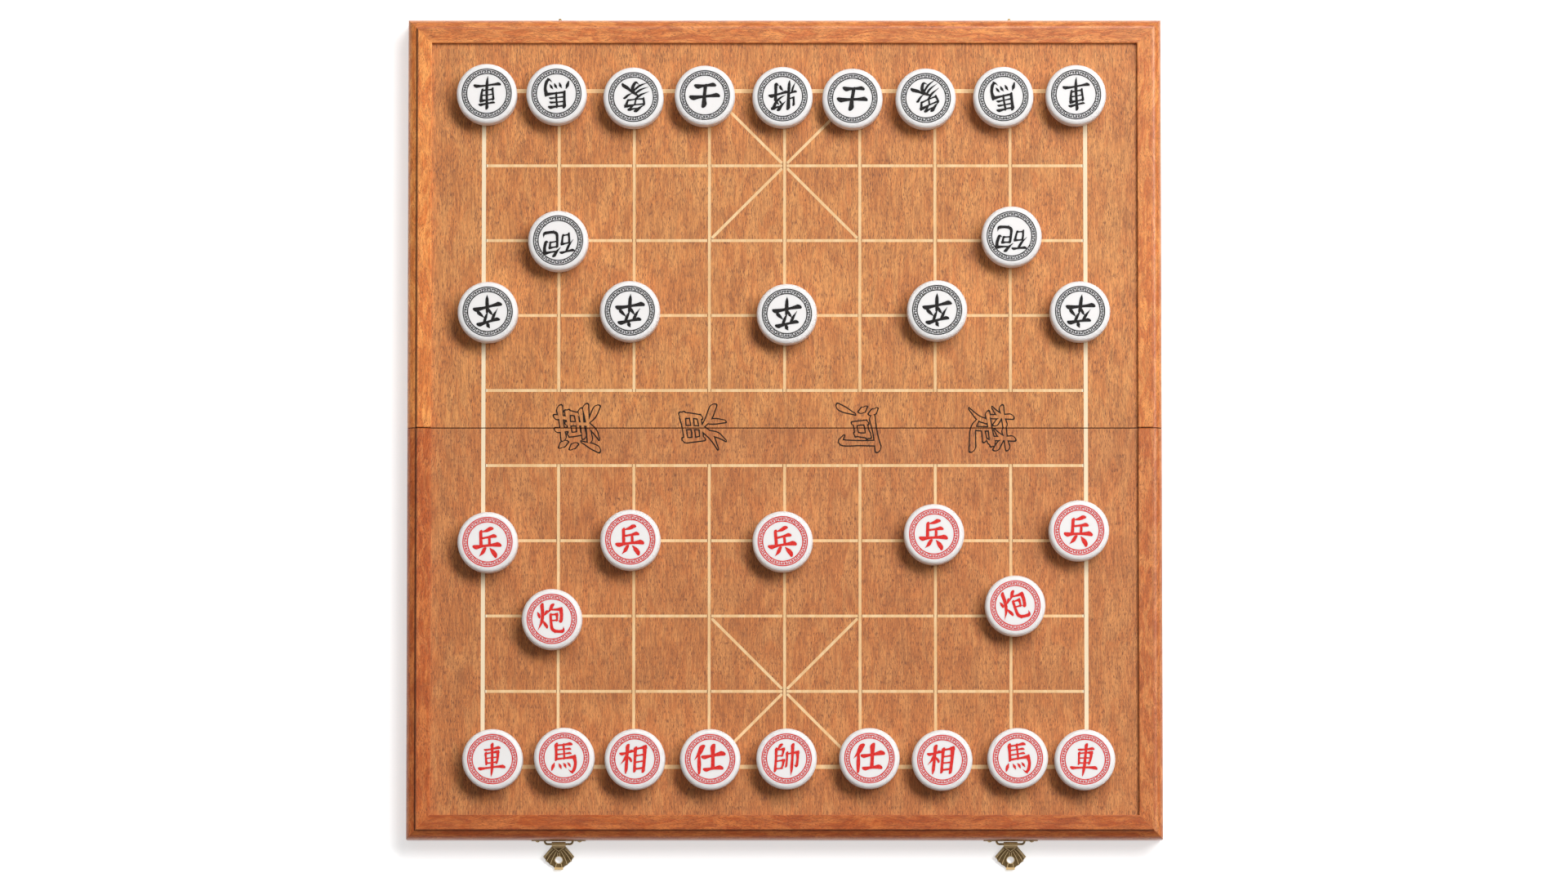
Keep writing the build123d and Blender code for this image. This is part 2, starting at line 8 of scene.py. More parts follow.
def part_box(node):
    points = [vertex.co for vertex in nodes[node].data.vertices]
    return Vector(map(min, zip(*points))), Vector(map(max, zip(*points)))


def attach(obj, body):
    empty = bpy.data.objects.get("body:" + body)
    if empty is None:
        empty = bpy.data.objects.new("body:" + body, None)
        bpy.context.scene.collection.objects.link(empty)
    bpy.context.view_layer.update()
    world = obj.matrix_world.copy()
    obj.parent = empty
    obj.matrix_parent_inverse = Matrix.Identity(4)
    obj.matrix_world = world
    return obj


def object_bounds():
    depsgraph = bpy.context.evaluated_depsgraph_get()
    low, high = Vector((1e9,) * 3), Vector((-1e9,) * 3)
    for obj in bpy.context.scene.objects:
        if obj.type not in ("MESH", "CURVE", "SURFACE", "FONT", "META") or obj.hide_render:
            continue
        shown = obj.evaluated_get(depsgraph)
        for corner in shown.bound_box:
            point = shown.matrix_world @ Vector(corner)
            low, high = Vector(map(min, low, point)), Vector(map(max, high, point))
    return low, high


# The looks of a folding xiangqi box, opened flat with its pieces set out: varnished woods with an
# inlaid grid, antique brass hasps, and white pieces with painted marks. Metres; +Y is the black
# side and +Z up.

MM = 0.001
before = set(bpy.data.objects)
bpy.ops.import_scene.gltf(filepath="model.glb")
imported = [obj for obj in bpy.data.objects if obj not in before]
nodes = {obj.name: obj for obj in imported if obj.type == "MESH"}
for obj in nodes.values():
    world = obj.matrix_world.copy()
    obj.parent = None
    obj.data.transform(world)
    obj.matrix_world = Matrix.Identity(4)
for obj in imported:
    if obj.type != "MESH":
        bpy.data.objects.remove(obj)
cad_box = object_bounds()

# --- camera and lights ------------------------------------------------------------------------
camera_target = Vector((-0.3, -6.6, 21.0)) * MM
camera_distance = 4.50
camera_tilt = radians(4.4)          # off straight down, towards the near side
sensor_width = 36.0
view_width = 0.7804                 # what the frame spans at the target
key_towards = Vector((0.44, 0.44, 1.0))
key_distance = 3.0
key_length = 2.32                   # level, across the way the light comes
key_width = 0.89
key_power = 96.0
sky_level = 0.21
floor_glow = 0.56                   # what the camera sees on the floor beside the light on it
floor_tone = (0.86, 0.86, 0.86)
floor_roughness = 0.9
plain_white = (1.0, 1.0, 1.0)
floor_reach = 4.0                   # from the middle to each edge
view_reach = 20.0

# --- wood: linear colours of the reddish figure, the golden figure and the pores ----------------
panel_tones = ((0.612, 0.207, 0.060), (0.697, 0.286, 0.092), (0.190, 0.066, 0.030))
# How the colour of each panel differs from the rest: its own board's tone, and painted light as well, with
# the far panel lighter and the near panel darker.
panel_board_and_painted_light = {"near": (0.99, 0.97, 0.98), "far": (1.08, 1.11, 1.08)}
rail_tones = ((0.600, 0.150, 0.036), (0.800, 0.285, 0.082), (0.240, 0.060, 0.016))
inlay_tones = ((0.865, 0.545, 0.260), (0.930, 0.655, 0.355), (0.600, 0.340, 0.150))
border_tone = (0.935, 0.800, 0.570)
border_from = 148.0                 # the paler side strips lie farther out than this, in millimetres
border_share = 0.8
# How the colour of each rail differs from the rest: its own board's tone, and painted light as well, with
# the far rails lighter, the near rails darker and the near front rail, whose moulding faces away from the
# lamp, darkest.
rail_board_and_painted_light = {
    "far_back_rail": (1.07, 1.12, 1.05), "near_front_rail": (0.80, 0.65, 0.55),
    "far_left_rail": (1.33, 1.48, 1.36), "near_left_rail": (0.93, 0.82, 0.77),
    "far_right_rail": (1.11, 1.20, 1.14), "near_right_rail": (0.95, 0.98, 1.02),
    "far_fold_rail": (0.95, 0.95, 0.95), "near_fold_rail": (0.95, 0.95, 0.95),
}
# How much clear varnish lies on each rail, where it isn't thin.
rail_coats = {"far_back_rail": 0.42, "far_right_rail": 0.26, "near_right_rail": 0.22}
thin_coat = 0.14
coat_roughness = 0.26
# How dark the painted shade lies in the crease beside a rail's moulding, and how dark on the moulding past
# it. It is deepest on the rails whose step faces away from the lamp.
crease_painted_shades = {
    "near_front_rail": (0.10, 0.55), "near_left_rail": (0.66, 0.26), "far_left_rail": (0.70, 0.27),
}
# The other rails have only a faint painted shade in the crease.
faint_crease_painted_shade = (0.12, 0.0)
# How far each layer of the grain covers what lies below it, in wood of full contrast.
cloud_share = 0.45
dark_streak_share = 0.36
pale_streak_share = 0.34
pore_share = 0.80
# How the clouds, the pale streaks and the painted shade in and past the creases differ from the tones they
# are made of.
cloud_shade = 0.82
pale_shade = 1.30
moulding_painted_shade_tone = 0.6
crease_painted_shade_tone = 0.4
grain_depth = 0.05 * MM
wood_specular = 0.28
# The figure of each board starts from a seed of its own; the rails' seeds are a step apart.
panel_seeds = {"near": 17.0, "far": 317.0}
rail_seed = 41.0
rail_seed_step = 97.0
inlay_seed = 7.0

# --- plastic, paint and brass: linear colours ---------------------------------------------------
white_tones = ((0.866, 0.838, 0.824), (0.904, 0.878, 0.864))
white_specular = 0.25
white_scatter = (1.3 * MM, 1.2 * MM, 1.1 * MM)
white_roughness = (0.38, 0.48)
white_relief = 0.010 * MM
# Each paint's colours, where it lies thin and where it lies thick.
red_tones = ((0.80, 0.044, 0.034), (0.67, 0.016, 0.015))
black_tones = ((0.026, 0.022, 0.021), (0.007, 0.006, 0.006))
burnt_tones = ((0.034, 0.015, 0.008), (0.012, 0.006, 0.004))
paint_specular = 0.16
paint_roughness = (0.48, 0.62)
paint_relief = 0.03 * MM
tarnish_tones = ((0.170, 0.102, 0.036), (0.290, 0.186, 0.070))
worn_brass = (0.98, 0.73, 0.38)
brass_metallic = 0.40
brass_specular = 0.6
brass_roughness = (0.26, 0.42)
brass_relief = 0.02 * MM
patch_wear = (0.22, 0.72)           # how bright the plain brass has worn, from least to most

# --- marks ------------------------------------------------------------------------------------
# The ring and the strokes are closed solids that stand in the faces of the pieces and the panels.
mark_rise = 0.03 * MM               # the paint stands this far over the face
stroke_step = 0.003 * MM            # each stroke lies this far over the one before
mark_depth = 0.15 * MM              # and all reach this far into it
brush_middle = 0.30                 # a width that stays as written, and how much others swell
brush_swell = 1.45
thinnest = 0.05
stroke_spans = 6                    # from one knot to the next
brush_slant = 0.55                  # how far the brush's tip leads at both ends of a stroke
slant_fades = 4                     # over this many points
cap_turns = tuple(radians(turn) for turn in (84, 60, 38, 18))
ring_outer = 12.45 * MM
ring_inner = 9.72 * MM
ring_band = 0.50 * MM
ring_steps = 96
arc_step = radians(4.5)
key_repeats = 14
key_line = 0.43 * MM
hook_levels = (0.30, 0.70)          # shares of the room between the ring's two lines
hook_reaches = (0.17, 0.84, 0.50)   # riser, side and tip, as shares of half a repeat
river_unit = 2.1 * MM
river_rise = 0.08                   # how far their level strokes climb to the right
river_brush = 1.50
river_line = 0.66 * MM              # the drawn outline of a river character
river_strokes = 20                  # more than any river character has

# Characters on a grid of about -5 to 5 both ways, as brush strokes: each knot is x, y and the
# brush's half width there.
CHARACTERS = {
    "chariot": (
        ((-2.7, 3.2, 0.30), (0.0, 3.5, 0.26), (2.7, 3.9, 0.38)),
        ((-2.5, 2.2, 0.34), (-2.4, 0.8, 0.28), (-2.1, -1.1, 0.34)),
        ((-2.5, 2.1, 0.26), (0.0, 2.4, 0.24), (2.3, 2.6, 0.40)),
        ((2.3, 2.6, 0.40), (2.3, 1.0, 0.34), (1.9, -1.0, 0.28)),
        ((-2.1, 0.6, 0.22), (0.0, 0.8, 0.20), (1.9, 0.9, 0.24)),
        ((-2.0, -0.9, 0.26), (0.0, -0.8, 0.22), (1.9, -0.6, 0.28)),
        ((-4.7, -2.6, 0.42), (-1.8, -2.4, 0.28), (1.8, -2.1, 0.30), (4.6, -2.1, 0.44)),
        ((0.0, 4.9, 0.40), (0.1, 2.0, 0.34), (0.1, -2.0, 0.38), (-0.1, -4.2, 0.26), (-0.3, -5.2, 0.04)),
    ),
    "horse": (
        ((-2.1, 4.3, 0.40), (-2.3, 2.0, 0.32), (-2.5, -0.5, 0.34)),
        ((-2.0, 4.0, 0.26), (0.2, 4.2, 0.24), (2.7, 4.5, 0.38)),
        ((0.3, 4.3, 0.30), (0.3, 2.0, 0.26), (0.2, -0.2, 0.28)),
        ((-2.1, 2.6, 0.24), (0.2, 2.8, 0.20), (2.3, 2.9, 0.30)),
        ((-2.2, 1.1, 0.24), (0.2, 1.3, 0.20), (2.3, 1.5, 0.30)),
        ((-2.4, -0.4, 0.28), (0.6, -0.1, 0.26), (3.5, 0.2, 0.40)),
        ((3.5, 0.2, 0.42), (3.7, -1.8, 0.34), (3.1, -3.8, 0.36), (2.4, -4.7, 0.30)),
        ((2.4, -4.7, 0.32), (1.8, -4.4, 0.20), (1.2, -3.7, 0.05)),
        ((-3.2, -1.6, 0.14), (-3.7, -2.6, 0.36), (-4.2, -3.9, 0.22)),
        ((-1.8, -1.8, 0.10), (-1.4, -2.6, 0.32), (-1.1, -3.4, 0.18)),
        ((-0.3, -1.7, 0.10), (0.2, -2.4, 0.32), (0.5, -3.2, 0.18)),
        ((1.1, -1.5, 0.10), (1.6, -2.2, 0.30), (2.0, -2.9, 0.16)),
    ),
    "minister": (
        ((-4.9, 2.1, 0.36), (-2.7, 2.4, 0.24), (-0.7, 2.9, 0.34)),
        ((-2.6, 4.8, 0.40), (-2.6, 1.0, 0.32), (-2.7, -3.2, 0.34), (-2.8, -4.8, 0.18)),
        ((-2.7, 2.0, 0.28), (-3.5, 0.2, 0.28), (-5.0, -1.6, 0.05)),
        ((-2.5, 1.3, 0.12), (-1.6, 0.4, 0.28), (-0.9, -0.5, 0.30)),
        ((0.5, 3.7, 0.38), (0.5, 0.0, 0.30), (0.6, -4.3, 0.32)),
        ((0.6, 3.5, 0.26), (2.4, 3.7, 0.24), (4.1, 3.9, 0.40)),
        ((4.1, 3.9, 0.42), (4.2, 0.0, 0.34), (4.0, -4.6, 0.34)),
        ((0.7, 1.1, 0.24), (2.3, 1.2, 0.20), (3.9, 1.4, 0.24)),
        ((0.7, -1.2, 0.24), (2.3, -1.1, 0.20), (3.9, -1.0, 0.24)),
        ((0.7, -3.6, 0.26), (2.3, -3.5, 0.24), (3.9, -3.4, 0.28)),
    ),
    "guard_red": (
        ((-2.3, 4.8, 0.42), (-3.3, 2.6, 0.36), (-5.1, 0.2, 0.05)),
        ((-3.4, 1.9, 0.24), (-3.4, -1.4, 0.34), (-3.4, -4.8, 0.26)),
        ((-1.8, 0.9, 0.36), (1.4, 1.3, 0.26), (4.9, 1.8, 0.42)),
        ((1.5, 4.6, 0.42), (1.5, 0.6, 0.32), (1.4, -3.3, 0.34)),
        ((-1.2, -3.8, 0.36), (1.4, -3.5, 0.26), (4.2, -3.4, 0.40)),
    ),
    "general_red": (
        ((-2.3, 4.9, 0.38), (-3.0, 4.0, 0.32), (-3.8, 3.2, 0.06)),
        ((-4.2, 3.4, 0.36), (-4.1, 0.0, 0.32), (-4.2, -3.8, 0.34)),
        ((-4.0, 3.1, 0.24), (-2.6, 3.3, 0.24), (-1.3, 3.5, 0.36)),
        ((-1.3, 3.5, 0.36), (-1.4, 2.3, 0.30), (-1.7, 1.2, 0.26)),
        ((-4.0, 1.1, 0.24), (-2.8, 1.2, 0.20), (-1.6, 1.3, 0.24)),
        ((-4.0, -0.7, 0.24), (-2.5, -0.4, 0.24), (-1.0, -0.2, 0.36)),
        ((-1.0, -0.2, 0.36), (-1.2, -1.6, 0.30), (-1.6, -2.9, 0.26)),
        ((-4.0, -3.1, 0.26), (-2.8, -3.0, 0.22), (-1.5, -2.8, 0.26)),
        ((0.2, 2.3, 0.34), (0.3, 0.2, 0.28), (0.1, -2.2, 0.30)),
        ((0.3, 2.0, 0.26), (2.3, 2.3, 0.24), (4.4, 2.6, 0.40)),
        ((4.4, 2.6, 0.42), (4.5, 0.4, 0.32), (4.2, -1.9, 0.34), (3.2, -1.6, 0.06)),
        ((2.3, 4.9, 0.42), (2.4, 1.0, 0.34), (2.3, -3.0, 0.34), (2.2, -5.2, 0.04)),
    ),
    "soldier_red": (
        ((2.0, 4.9, 0.38), (0.2, 4.2, 0.32), (-2.2, 3.7, 0.10)),
        ((-2.3, 3.9, 0.32), (-2.4, 1.6, 0.32), (-2.5, -0.9, 0.32)),
        ((-2.1, 1.6, 0.24), (0.4, 1.9, 0.24), (3.2, 2.3, 0.38)),
        ((1.1, 2.0, 0.28), (1.1, 0.6, 0.28), (1.0, -0.8, 0.28)),
        ((-4.9, -1.3, 0.42), (-1.6, -1.0, 0.28), (1.8, -0.8, 0.30), (4.8, -0.7, 0.44)),
        ((-1.1, -1.9, 0.32), (-2.0, -3.2, 0.34), (-3.5, -4.5, 0.06)),
        ((1.1, -1.9, 0.14), (2.2, -3.0, 0.38), (3.3, -4.3, 0.40)),
    ),
    "elephant": (
        ((-0.3, 5.0, 0.38), (-1.6, 3.9, 0.30), (-3.1, 2.9, 0.06)),
        ((-0.7, 4.1, 0.22), (0.6, 4.2, 0.24), (1.9, 4.4, 0.34)),
        ((1.9, 4.4, 0.34), (1.4, 3.7, 0.28), (0.7, 3.0, 0.20)),
        ((-2.9, 2.9, 0.32), (-2.8, 1.9, 0.28), (-2.5, 0.8, 0.30)),
        ((-2.8, 2.7, 0.24), (0.2, 2.8, 0.22), (3.1, 3.1, 0.38)),
        ((3.1, 3.1, 0.38), (2.9, 2.0, 0.30), (2.6, 1.0, 0.26)),
        ((0.2, 2.8, 0.26), (0.1, 1.9, 0.24), (0.0, 0.9, 0.24)),
        ((-2.5, 0.9, 0.24), (0.0, 0.9, 0.20), (2.6, 1.1, 0.26)),
        ((0.1, 0.8, 0.26), (-1.5, -0.5, 0.28), (-4.3, -1.5, 0.05)),
        ((-0.9, -0.1, 0.22), (0.9, -1.5, 0.36), (1.4, -3.2, 0.38), (0.5, -4.9, 0.30), (-0.8, -4.0, 0.05)),
        ((0.3, -1.1, 0.26), (-1.4, -2.3, 0.26), (-4.0, -3.1, 0.05)),
        ((0.9, -2.2, 0.26), (-1.0, -3.7, 0.26), (-3.9, -4.7, 0.05)),
        ((3.8, 0.3, 0.30), (2.6, -0.7, 0.26), (1.2, -1.4, 0.08)),
        ((1.2, -1.1, 0.12), (2.8, -2.9, 0.36), (4.7, -4.2, 0.40)),
    ),
    "guard_black": (
        ((-4.8, 0.6, 0.40), (-1.6, 0.9, 0.28), (1.6, 1.2, 0.30), (4.8, 1.5, 0.44)),
        ((0.1, 4.9, 0.44), (0.2, 1.6, 0.34), (0.1, -1.0, 0.32), (0.0, -3.7, 0.34)),
        ((-3.2, -4.1, 0.38), (0.0, -3.8, 0.26), (3.2, -3.5, 0.42)),
    ),
    "general_black": (
        ((-4.3, 3.9, 0.30), (-4.3, 2.6, 0.26), (-4.2, 1.3, 0.26)),
        ((-4.2, 1.3, 0.24), (-3.3, 1.4, 0.20), (-2.4, 1.5, 0.22)),
        ((-4.9, -0.8, 0.30), (-3.6, -0.6, 0.22), (-2.4, -0.4, 0.22)),
        ((-3.5, -0.7, 0.26), (-3.9, -2.4, 0.24), (-4.8, -4.1, 0.05)),
        ((-2.2, 4.8, 0.40), (-2.2, 0.0, 0.32), (-2.3, -3.4, 0.32), (-2.4, -4.9, 0.16)),
        ((1.6, 4.9, 0.36), (0.4, 3.4, 0.28), (-1.2, 2.1, 0.05)),
        ((1.1, 3.8, 0.22), (2.5, 3.9, 0.26), (3.9, 4.2, 0.36)),
        ((3.9, 4.2, 0.36), (2.6, 1.9, 0.30), (0.8, 0.6, 0.22), (-1.0, 0.0, 0.05)),
        ((0.3, 3.0, 0.12), (0.9, 2.4, 0.26), (1.3, 1.9, 0.20)),
        ((1.6, 3.0, 0.12), (2.1, 2.5, 0.24), (2.4, 2.1, 0.18)),
        ((-1.3, -1.1, 0.34), (1.8, -0.7, 0.26), (4.9, -0.4, 0.40)),
        ((3.0, 1.0, 0.34), (3.0, -1.8, 0.32), (2.9, -4.4, 0.34), (1.7, -3.7, 0.05)),
        ((0.1, -1.8, 0.12), (0.8, -2.5, 0.30), (1.3, -3.2, 0.30)),
    ),
    "soldier_black": (
        ((-0.3, 5.0, 0.14), (0.2, 4.4, 0.34), (0.5, 3.7, 0.30)),
        ((-3.7, 2.8, 0.36), (0.0, 3.1, 0.26), (3.8, 3.5, 0.40)),
        ((-1.5, 2.9, 0.30), (-2.4, 1.3, 0.28), (-4.0, -0.5, 0.05)),
        ((-1.9, 1.3, 0.10), (-1.1, 0.5, 0.28), (-0.6, -0.2, 0.28)),
        ((1.7, 3.1, 0.30), (0.9, 1.4, 0.28), (-0.2, -0.3, 0.06)),
        ((1.6, 1.6, 0.10), (2.8, 0.6, 0.30), (3.9, -0.4, 0.34)),
        ((-4.7, -1.8, 0.42), (-1.6, -1.6, 0.28), (1.6, -1.4, 0.30), (4.8, -1.3, 0.42)),
        ((0.1, -0.2, 0.34), (0.1, -2.6, 0.34), (0.0, -4.2, 0.28), (-0.1, -5.3, 0.04)),
    ),
}
# Parts that two characters share.
WRAPPED = (
    ((1.3, 4.9, 0.36), (0.4, 3.3, 0.30), (-0.9, 1.7, 0.06)),
    ((0.7, 3.2, 0.22), (2.5, 3.3, 0.26), (4.4, 3.5, 0.38)),
    ((4.4, 3.5, 0.38), (4.5, 1.4, 0.34), (4.0, -0.9, 0.32), (3.1, -0.5, 0.06)),
    ((0.3, 1.4, 0.24), (1.5, 1.5, 0.22), (2.7, 1.6, 0.32)),
    ((2.7, 1.6, 0.32), (2.7, 0.5, 0.26), (2.6, -0.6, 0.24)),
    ((0.4, -0.7, 0.22), (1.5, -0.6, 0.20), (2.6, -0.5, 0.24)),
    ((0.3, 1.4, 0.30), (0.3, -1.4, 0.30), (0.5, -3.6, 0.34), (1.4, -4.4, 0.34)),
    ((1.4, -4.4, 0.34), (3.0, -4.5, 0.32), (4.6, -4.2, 0.34), (4.9, -2.7, 0.05)),
)
WATER = (
    ((-4.6, 4.5, 0.14), (-4.0, 3.9, 0.36), (-3.4, 3.2, 0.30)),
    ((-5.0, 2.0, 0.14), (-4.4, 1.4, 0.34), (-3.9, 0.8, 0.28)),
    ((-5.0, -4.4, 0.36), (-4.2, -2.8, 0.32), (-3.3, -0.7, 0.06)),
)
CHARACTERS["cannon_red"] = (
    ((-4.6, 2.0, 0.12), (-4.2, 1.2, 0.30), (-3.9, 0.4, 0.28)),
    ((-1.1, 2.5, 0.30), (-1.6, 1.6, 0.26), (-2.2, 0.9, 0.08)),
    ((-2.7, 4.7, 0.38), (-2.7, 1.4, 0.34), (-3.4, -1.6, 0.30), (-5.0, -4.5, 0.05)),
    ((-2.9, -0.7, 0.12), (-2.1, -2.0, 0.32), (-1.4, -3.0, 0.32)),
) + WRAPPED
CHARACTERS["cannon_black"] = (
    ((-5.0, 3.4, 0.34), (-2.9, 3.7, 0.24), (-1.1, 4.0, 0.34)),
    ((-2.8, 3.6, 0.30), (-3.6, 1.4, 0.28), (-5.1, -0.8, 0.05)),
    ((-3.7, 0.3, 0.28), (-3.7, -1.4, 0.26), (-3.5, -3.2, 0.28)),
    ((-3.7, 0.3, 0.22), (-2.5, 0.5, 0.22), (-1.3, 0.6, 0.32)),
    ((-1.3, 0.6, 0.32), (-1.4, -1.2, 0.26), (-1.6, -2.9, 0.26)),
    ((-3.5, -2.9, 0.24), (-2.6, -2.8, 0.20), (-1.6, -2.7, 0.24)),
) + WRAPPED
# The characters written on the river, on the same grid.
RIVER = {
    "han": WATER + (
        ((-2.4, 3.5, 0.34), (1.0, 3.7, 0.26), (4.6, 3.9, 0.38)),
        ((-0.5, 4.9, 0.30), (-0.5, 3.6, 0.26), (-0.3, 2.3, 0.26)),
        ((2.6, 4.9, 0.30), (2.5, 3.6, 0.26), (2.3, 2.3, 0.26)),
        ((-1.6, 1.9, 0.28), (-1.5, 0.9, 0.26), (-1.3, -0.3, 0.26)),
        ((-1.6, 1.8, 0.24), (1.0, 2.0, 0.22), (3.6, 2.1, 0.34)),
        ((3.6, 2.1, 0.34), (3.5, 1.0, 0.26), (3.2, -0.2, 0.24)),
        ((-1.3, -0.2, 0.24), (1.0, -0.1, 0.22), (3.2, 0.0, 0.26)),
        ((-2.0, -1.4, 0.30), (1.0, -1.2, 0.22), (4.0, -1.0, 0.32)),
        ((-2.9, -2.7, 0.34), (1.0, -2.5, 0.24), (4.9, -2.3, 0.38)),
        ((1.0, 2.3, 0.28), (1.0, 0.0, 0.26), (0.9, -2.4, 0.26)),
        ((0.8, -2.6, 0.26), (-0.8, -4.0, 0.28), (-2.7, -4.9, 0.05)),
        ((1.2, -2.6, 0.14), (2.9, -3.9, 0.34), (4.8, -4.9, 0.36)),
    ),
    "border": (
        ((-2.9, 4.6, 0.34), (-2.8, 2.6, 0.28), (-2.5, 0.5, 0.30)),
        ((-2.9, 4.4, 0.24), (0.0, 4.6, 0.24), (3.0, 4.8, 0.38)),
        ((3.0, 4.8, 0.38), (2.9, 2.6, 0.30), (2.6, 0.6, 0.28)),
        ((0.1, 4.6, 0.26), (0.1, 2.6, 0.24), (0.0, 0.7, 0.24)),
        ((-2.7, 2.5, 0.22), (0.0, 2.6, 0.20), (2.7, 2.7, 0.24)),
        ((-2.5, 0.7, 0.24), (0.0, 0.7, 0.20), (2.6, 0.9, 0.26)),
        ((0.0, 0.4, 0.34), (-2.0, -1.6, 0.32), (-5.0, -3.0, 0.05)),
        ((0.2, 0.3, 0.16), (2.2, -1.3, 0.36), (5.0, -2.6, 0.38)),
        ((-1.2, -1.4, 0.30), (-1.7, -3.2, 0.30), (-3.0, -5.0, 0.05)),
        ((1.5, -1.3, 0.30), (1.6, -3.2, 0.32), (1.6, -5.1, 0.16)),
    ),
    "stream": WATER + (
        ((-2.4, 3.3, 0.36), (1.2, 3.7, 0.26), (4.9, 4.1, 0.38)),
        ((-1.3, 1.7, 0.30), (-1.2, 0.4, 0.26), (-1.0, -1.1, 0.28)),
        ((-1.3, 1.6, 0.24), (0.3, 1.8, 0.22), (1.8, 2.0, 0.34)),
        ((1.8, 2.0, 0.34), (1.7, 0.6, 0.26), (1.5, -0.9, 0.24)),
        ((-1.0, -0.9, 0.24), (0.3, -0.8, 0.20), (1.5, -0.7, 0.26)),
        ((3.6, 3.9, 0.34), (3.6, 0.0, 0.30), (3.4, -4.4, 0.34), (1.8, -3.8, 0.05)),
    ),
    "chu": (
        ((-4.8, 2.9, 0.30), (-2.7, 3.1, 0.22), (-0.6, 3.4, 0.30)),
        ((-2.7, 5.0, 0.32), (-2.7, 2.6, 0.26), (-2.7, 0.4, 0.26)),
        ((-2.8, 2.9, 0.24), (-3.5, 1.8, 0.24), (-4.9, 0.7, 0.05)),
        ((-2.6, 2.7, 0.12), (-1.8, 1.9, 0.24), (-0.9, 1.2, 0.26)),
        ((0.5, 3.1, 0.30), (2.5, 3.3, 0.22), (4.7, 3.6, 0.30)),
        ((2.5, 5.0, 0.32), (2.5, 2.6, 0.26), (2.5, 0.4, 0.26)),
        ((2.4, 2.9, 0.24), (1.7, 1.8, 0.24), (0.4, 0.8, 0.05)),
        ((2.6, 2.7, 0.12), (3.6, 1.8, 0.28), (4.9, 0.9, 0.32)),
        ((-3.4, -0.5, 0.30), (0.0, -0.2, 0.24), (3.6, 0.1, 0.36)),
        ((3.6, 0.1, 0.34), (3.3, -0.6, 0.26), (2.7, -1.2, 0.08)),
        ((0.2, -0.3, 0.26), (0.2, -1.8, 0.26), (0.1, -3.5, 0.24)),
        ((0.2, -1.9, 0.22), (1.4, -1.8, 0.22), (2.8, -1.7, 0.28)),
        ((-1.7, -1.2, 0.30), (-2.4, -2.8, 0.28), (-4.6, -4.8, 0.05)),
        ((-2.4, -2.6, 0.12), (0.2, -4.2, 0.32), (4.9, -4.8, 0.38)),
    ),
}

# How each character is set on a piece, in millimetres: how far one unit of its grid to the right,
# and one unit up, moves along X and Y, then its shift from the middle and the width of the brush.
# Scratch programs fitted these numbers to the photograph, and some were then changed a little by hand.
SETTING = {
    "chariot": ((1.25, 0.02), (0.04, 1.58), (-0.2, -0.5), 1.78),
    "horse": ((1.50, 0.08), (-0.19, 1.52), (-0.2, 0.0), 2.02),
    "elephant": ((1.48, 0.20), (0.02, 1.46), (-1.3, -0.3), 1.98),
    "minister": ((1.28, 0.08), (0.10, 1.40), (-0.6, 0.0), 2.20),
    "guard_black": ((1.30, -0.01), (0.10, 1.12), (-0.1, -0.5), 2.55),
    "guard_red": ((1.40, 0.10), (0.01, 1.33), (-0.7, -0.1), 2.66),
    "general_black": ((1.25, 0.19), (0.04, 1.40), (-0.3, -0.5), 2.18),
    "general_red": ((1.24, -0.05), (0.08, 1.50), (-0.2, -0.6), 1.84),
    "cannon_black": ((1.50, 0.06), (0.10, 1.27), (0.1, 1.3), 2.08),
    "cannon_red": ((1.30, 0.10), (-0.28, 1.36), (-0.9, 0.1), 2.26),
    "soldier_black": ((1.25, 0.14), (0.01, 1.60), (-0.1, 0.1), 2.45),
    "soldier_red": ((1.20, 0.03), (-0.06, 1.46), (-0.3, -0.5), 2.42),
}

# Each kind of piece: its character on the red side and on the black side.
KINDS = {
    "chariot": ("chariot", "chariot"),
    "horse": ("horse", "horse"),
    "elephant": ("minister", "elephant"),
    "advisor": ("guard_red", "guard_black"),
    "general": ("general_red", "general_black"),
    "cannon": ("cannon_red", "cannon_black"),
    "soldier": ("soldier_red", "soldier_black"),
}
# How far each piece is turned from facing its player, in whole degrees, fitted to the photograph too.
# A scratch program fitted these to the photograph too.
TURNS = {
    "red_left_chariot": 1, "red_left_horse": -2, "red_left_elephant": 1, "red_left_advisor": 1,
    "red_general": 0, "red_right_advisor": -1, "red_right_elephant": -1, "red_right_horse": 1,
    "red_right_chariot": -5, "red_left_cannon": -7, "red_right_cannon": 7, "red_soldier_1": 1,
    "red_soldier_2": 1, "red_soldier_3": 4, "red_soldier_4": -2, "red_soldier_5": -4,
    "black_left_chariot": 1, "black_left_horse": -2, "black_left_elephant": -4, "black_left_advisor": 2,
    "black_general": 0, "black_right_advisor": -2, "black_right_elephant": 14, "black_right_horse": 4,
    "black_right_chariot": 4, "black_left_cannon": 4, "black_right_cannon": -4, "black_soldier_1": 4,
    "black_soldier_2": -1, "black_soldier_3": 1, "black_soldier_4": 2, "black_soldier_5": -5,
}


def low_high(node):
    """A node's lowest and highest corners."""
    low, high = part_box(node)
    return Vector(low), Vector(high)


# --- places read from the frame -------------------------------------------------------------------
case_half = Vector((-low_high("near_left_rail")[0].x, -low_high("near_front_rail")[0].y))
staple_low, staple_high = low_high("hasp_staples")
wire_radius = (staple_high.z - staple_low.z) / 2
flap_wire = Vector((
    (low_high("right_hasp_flap")[0].x + low_high("right_hasp_flap")[1].x) / 2,
    staple_low.y + wire_radius,
    (staple_low.z + staple_high.z) / 2,
))
floor_z = cad_box[0][2]
panel_top = low_high("near_playing_panel")[1].z
fold_half_gap = -low_high("near_playing_panel")[1].y

